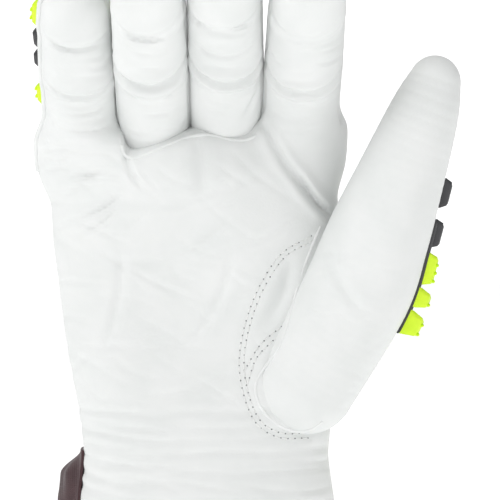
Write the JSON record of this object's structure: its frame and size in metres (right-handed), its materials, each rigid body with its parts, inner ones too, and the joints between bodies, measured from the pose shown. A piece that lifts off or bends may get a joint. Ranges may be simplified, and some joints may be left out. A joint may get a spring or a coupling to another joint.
{
  "type": "leather work glove",
  "caption": "Right-hand leather work glove with a gathered wrist, open cuff, sewn-in thumb and moulded guards on the backs of the fingers and hand.",
  "frame": {"origin": "under the middle of the whole glove, level with the cuff hem that it stands on", "axes": "+Z from the hem towards the fingertips, -Y the way the palm faces, +X the thumb side"},
  "size_m": [0.1488, 0.0962, 0.2081],
  "materials": {
    "white_goatskin": "matte, soft grain",
    "yellow_green_rubber": "satin",
    "black_rubber": "satin",
    "brown_cuff_cloth": "matte, gathered",
    "grey_knit": "matte knit",
    "woven_elastic": "matte weave",
    "cuff_binding_tape": "matte weave",
    "blank_label": "matte"
  },
  "bodies": {
    "hand": {"back_panel": "white_goatskin", "cuff_back_panel": "brown_cuff_cloth", "cuff_binding": "cuff_binding_tape", "cuff_facing": "woven_elastic", "cuff_palm_panel": "white_goatskin", "hand_back_guard_index": "yellow_green_rubber", "hand_back_guard_little": "black_rubber", "hand_back_guard_middle": "black_rubber", "hand_back_guard_ring": "yellow_green_rubber", "knit_liner": "grey_knit", "knuckle_guard": "black_rubber", "palm_panel": "white_goatskin", "size_label": "blank_label", "thumb_crotch_patch": "white_goatskin", "thumb_root": "white_goatskin", "wrist_elastic": "woven_elastic"},
    "index_lower": {"index_back_lower": "white_goatskin", "index_guard_lower": "black_rubber", "index_palm_lower": "white_goatskin", "index_side_strip_inner": "white_goatskin"},
    "index_upper": {"index_back_upper": "white_goatskin", "index_guard_upper": "yellow_green_rubber", "index_palm_upper": "white_goatskin"},
    "middle_lower": {"middle_back_lower": "white_goatskin", "middle_guard_lower": "black_rubber", "middle_palm_lower": "white_goatskin", "middle_side_strip_inner": "white_goatskin", "middle_side_strip_outer": "white_goatskin"},
    "middle_upper": {"middle_back_upper": "white_goatskin", "middle_guard_upper": "yellow_green_rubber", "middle_palm_upper": "white_goatskin"},
    "ring_lower": {"ring_back_lower": "white_goatskin", "ring_guard_lower": "black_rubber", "ring_palm_lower": "white_goatskin", "ring_side_strip_inner": "white_goatskin", "ring_side_strip_outer": "white_goatskin"},
    "ring_upper": {"ring_back_upper": "white_goatskin", "ring_guard_upper": "yellow_green_rubber", "ring_palm_upper": "white_goatskin"},
    "little_lower": {"little_back_lower": "white_goatskin", "little_guard_lower": "black_rubber", "little_palm_lower": "white_goatskin", "little_side_strip_outer": "white_goatskin"},
    "little_upper": {"little_back_upper": "white_goatskin", "little_guard_upper": "yellow_green_rubber", "little_palm_upper": "white_goatskin"},
    "thumb_lower": {"thumb_back_lower": "white_goatskin", "thumb_guard_lower": "yellow_green_rubber", "thumb_guard_sheet": "black_rubber", "thumb_palm_lower": "white_goatskin"},
    "thumb_upper": {"thumb_back_upper": "white_goatskin", "thumb_guard_upper": "black_rubber", "thumb_palm_upper": "white_goatskin"}
  },
  "joints": [
    {"name": "index_knuckle", "type": "hinge", "parent": "hand", "child": "index_lower", "pos_m": [0.01416, 0.01615, 0.151], "axis": [1, 0, 0], "range_deg": [-38, 25]},
    {"name": "index_middle_joint", "type": "hinge", "parent": "index_lower", "child": "index_upper", "pos_m": [0.01416, -0.00526, 0.17478], "axis": [1, 0, 0], "range_deg": [-14, 38]},
    {"name": "middle_knuckle", "type": "hinge", "parent": "hand", "child": "middle_lower", "pos_m": [-0.01024, 0.01615, 0.152], "axis": [1, 0, 0], "range_deg": [-38, 25]},
    {"name": "middle_middle_joint", "type": "hinge", "parent": "middle_lower", "child": "middle_upper", "pos_m": [-0.01024, -0.0066, 0.17727], "axis": [1, 0, 0], "range_deg": [-14, 38]},
    {"name": "ring_knuckle", "type": "hinge", "parent": "hand", "child": "ring_lower", "pos_m": [-0.03404, 0.01615, 0.151], "axis": [1, 0, 0], "range_deg": [-38, 25]},
    {"name": "ring_middle_joint", "type": "hinge", "parent": "ring_lower", "child": "ring_upper", "pos_m": [-0.03404, -0.00526, 0.17478], "axis": [1, 0, 0], "range_deg": [-14, 38]},
    {"name": "little_knuckle", "type": "hinge", "parent": "hand", "child": "little_lower", "pos_m": [-0.05764, 0.01615, 0.148], "axis": [1, 0, 0], "range_deg": [-26, 25]},
    {"name": "little_middle_joint", "type": "hinge", "parent": "little_lower", "child": "little_upper", "pos_m": [-0.05764, 0.00215, 0.17225], "axis": [1, 0, 0], "range_deg": [-14, 38]},
    {"name": "thumb_base", "type": "hinge", "parent": "hand", "child": "thumb_lower", "pos_m": [0.02116, 0.00315, 0.086], "axis": [-0.8338, 0.3105, 0.4565], "range_deg": [-30, 12]},
    {"name": "thumb_tip", "type": "hinge", "parent": "thumb_lower", "child": "thumb_upper", "pos_m": [0.04516, -0.00885, 0.138], "axis": [0.5602, -0.7469, -0.3584], "range_deg": [-8, 25]}
  ]
}
